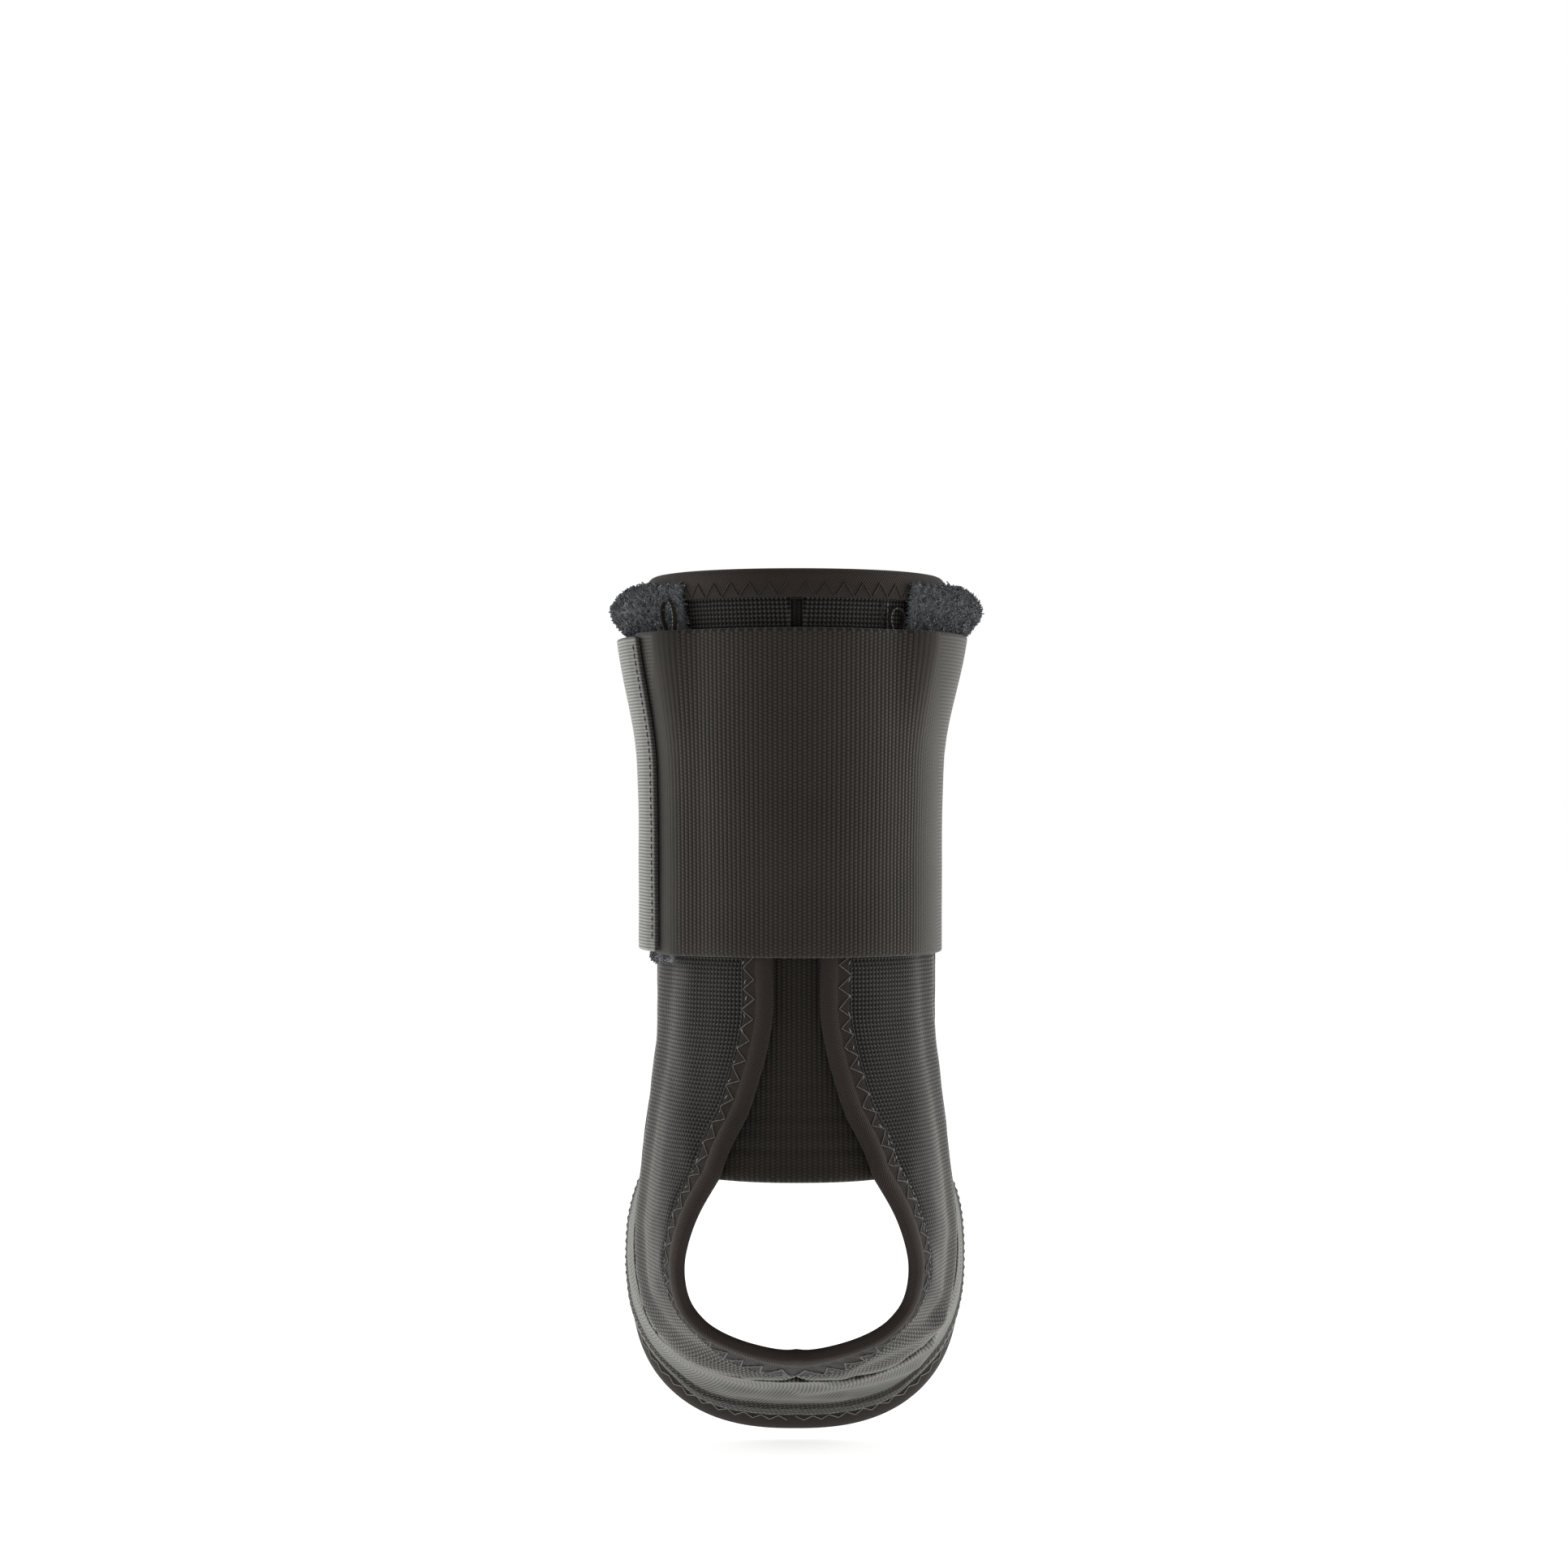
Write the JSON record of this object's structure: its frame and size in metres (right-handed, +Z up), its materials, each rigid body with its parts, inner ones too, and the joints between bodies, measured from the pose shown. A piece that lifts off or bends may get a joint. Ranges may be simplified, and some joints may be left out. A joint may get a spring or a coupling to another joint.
{
  "type": "ankle brace",
  "caption": "Boot-style soft ankle brace with woven side panels, elastic heel gore, open heel, bound edges, arch strap with pile ends and a wide elastic cuff.",
  "frame": {"origin": "on the leg's axis inside the hollow, at the height of the ankle, which is the mount leg", "axes": "+Z up along the leg, -Y towards the heel and the back of the leg, +Y towards the toes, +X to the wearer's right seen from behind"},
  "size_m": [0.1024, 0.1313, 0.2527],
  "materials": {
    "woven_nylon": "coarse woven ballistic nylon, charcoal with a soft sheen",
    "ribbed_elastic": "fine ribbed knitted elastic, matt brown-black",
    "binding_tape": "folded twill edge-binding tape with zigzag stitching",
    "strap_nylon": "woven nylon strap, charcoal",
    "loop_pile": "fuzzy loop pile, dark blue-grey",
    "cuff_elastic": "wide ribbed knitted elastic, brown-black",
    "cuff_tab_weave": "woven tab with fine cross ribs, grey-brown",
    "loop_tape": "narrow folded tape, black"
  },
  "bodies": {
    "root": {"side_panel_right": "woven_nylon", "side_panel_left": "woven_nylon", "achilles_gore": "ribbed_elastic", "top_binding": "binding_tape", "heel_opening_binding": "binding_tape", "distal_binding": "binding_tape", "front_seam_tape": "binding_tape", "arch_strap": "strap_nylon", "strap_pile_end_right": "loop_pile", "strap_pile_end_left": "loop_pile", "elastic_cuff": "cuff_elastic", "cuff_tab": "cuff_tab_weave", "cuff_pile_strip": "loop_pile", "tape_loop_left": "loop_tape", "tape_loop_right": "loop_tape"}
  },
  "joints": []
}
